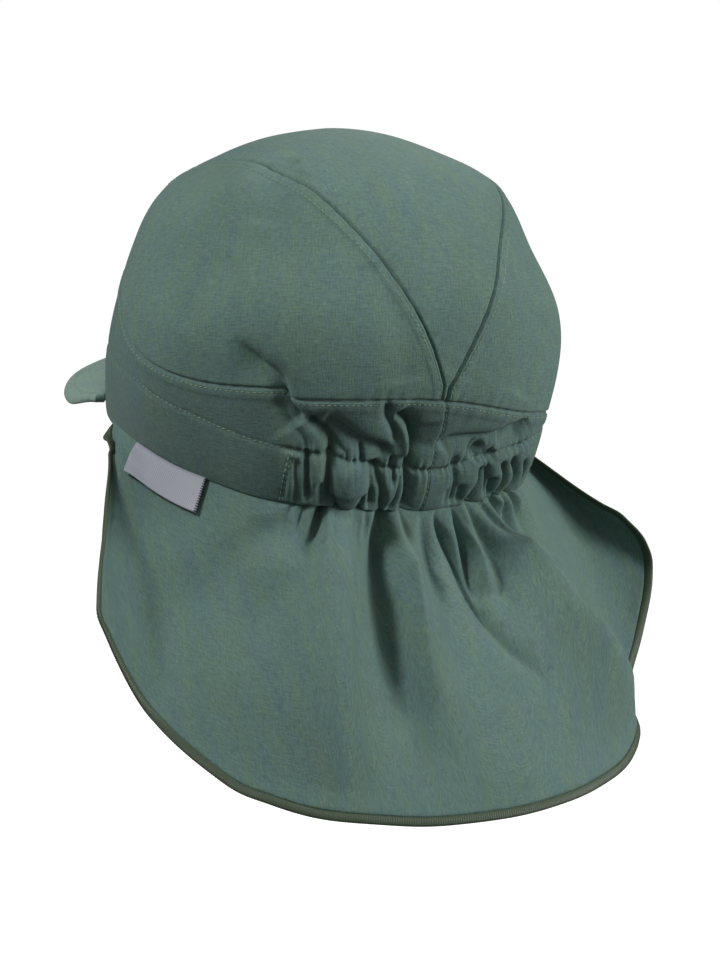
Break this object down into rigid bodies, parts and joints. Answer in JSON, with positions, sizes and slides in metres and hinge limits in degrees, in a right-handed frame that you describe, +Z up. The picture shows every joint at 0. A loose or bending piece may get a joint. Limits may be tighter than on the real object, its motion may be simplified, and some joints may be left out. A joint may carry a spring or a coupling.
{
  "type": "legionnaire cap",
  "caption": "Child's legionnaire cap of thin cotton: panelled crown, band gathered on elastic at the back, small curved peak and a wide neck flap with an overlocked edge.",
  "frame": {"origin": "centre of the head opening, level with the middle of its lower edge, where the cap sits on a head", "axes": "+Z up, -Y forward along the peak, +X to the wearer's left"},
  "size_m": [0.2364, 0.2365, 0.2276],
  "materials": {
    "crown_cotton": "fine plain-weave cotton, grey green, matt with a slight sheen",
    "band_cotton": "fine plain-weave cotton, grey green, matt with a slight sheen",
    "peak_cotton": "fine plain-weave cotton over a stiff core, grey green, matt",
    "flap_cotton": "fine plain-weave cotton, grey green, matt with a slight sheen",
    "hem_thread": "dense olive green overlock thread",
    "label_weave": "smooth woven label tape, light grey"
  },
  "bodies": {
    "root": {"crown_centre_panel": "crown_cotton", "crown_side_panel_left": "crown_cotton", "crown_side_panel_right": "crown_cotton", "head_band": "band_cotton", "peak": "peak_cotton", "neck_flap": "flap_cotton", "flap_hem": "hem_thread", "side_label": "label_weave"}
  },
  "joints": []
}
